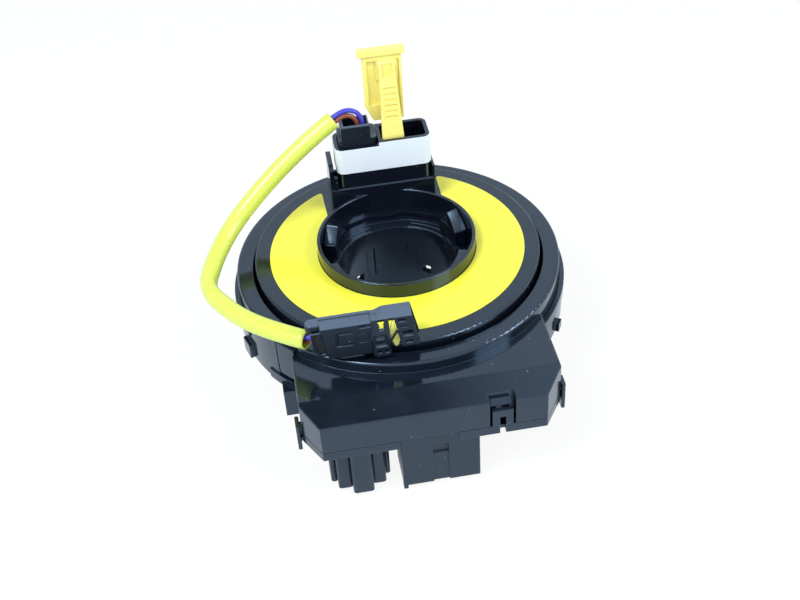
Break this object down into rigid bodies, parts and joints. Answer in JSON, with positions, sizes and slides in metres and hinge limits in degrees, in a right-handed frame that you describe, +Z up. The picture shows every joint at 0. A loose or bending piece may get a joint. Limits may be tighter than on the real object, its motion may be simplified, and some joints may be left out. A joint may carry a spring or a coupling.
{
  "type": "steering clock spring",
  "caption": "Drum with a turning hub and warning label, terminal box with two column plugs below, connector tower with a lock pin, and an airbag lead in a sleeve with its plug.",
  "frame": {"origin": "centre of the steering shaft bore at the seat plane, where the unit's underside lies on the column switch", "axes": "+Z up the steering shaft towards the wheel, -Y towards the terminal box, +X to the right as seen from the box side"},
  "size_m": [0.1175, 0.121, 0.094],
  "materials": {
    "housing_black": "glossy moulded black",
    "rotor_black": "glossy moulded black",
    "connector_black": "satin moulded black",
    "label_yellow": "gloss printed film, bare",
    "tape_white": "smooth pale tape",
    "sleeve_yellow": "satin flexible tube",
    "pin_yellow": "moulded, slightly translucent",
    "lock_yellow": "moulded, satin",
    "wire_brown": "wire insulation",
    "wire_blue": "wire insulation",
    "cable_film": "laminated flat cable film",
    "slip_film": "low friction film",
    "terminal_brass": "tinned brass",
    "insulator": "moulded insulator"
  },
  "bodies": {
    "stator": {"upper_housing": "housing_black", "lower_cover": "housing_black", "connector_left": "connector_black", "connector_middle": "connector_black", "terminals_left": "terminal_brass", "terminals_middle": "terminal_brass", "tail_comb": "insulator", "flat_cable": "cable_film", "slip_sheet": "slip_film"},
    "rotor": {"upper_rotor": "rotor_black", "lower_rotor": "rotor_black", "label_ring": "label_yellow", "tower_connector": "rotor_black", "rotor_block": "insulator", "rotor_terminals": "terminal_brass", "tower_band": "tape_white", "lead_block": "connector_black", "lead_sleeve": "sleeve_yellow", "wire_brown": "wire_brown", "wire_blue": "wire_blue", "plug_body": "connector_black", "plug_head": "connector_black", "plug_lock": "lock_yellow", "plug_contacts": "terminal_brass"},
    "lock_pin": {"lock_pin": "pin_yellow"}
  },
  "joints": [
    {"name": "rotor_turn", "type": "hinge", "parent": "stator", "child": "rotor", "pos_m": [0, 0, 0], "axis": [0, 0, 1], "range_deg": [-900, 900], "deforming": ["flat_cable"]},
    {"name": "lock_pin_slide", "type": "slide", "parent": "rotor", "child": "lock_pin", "axis": [0, 0, 1], "range_m": [0, 0.03]}
  ]
}
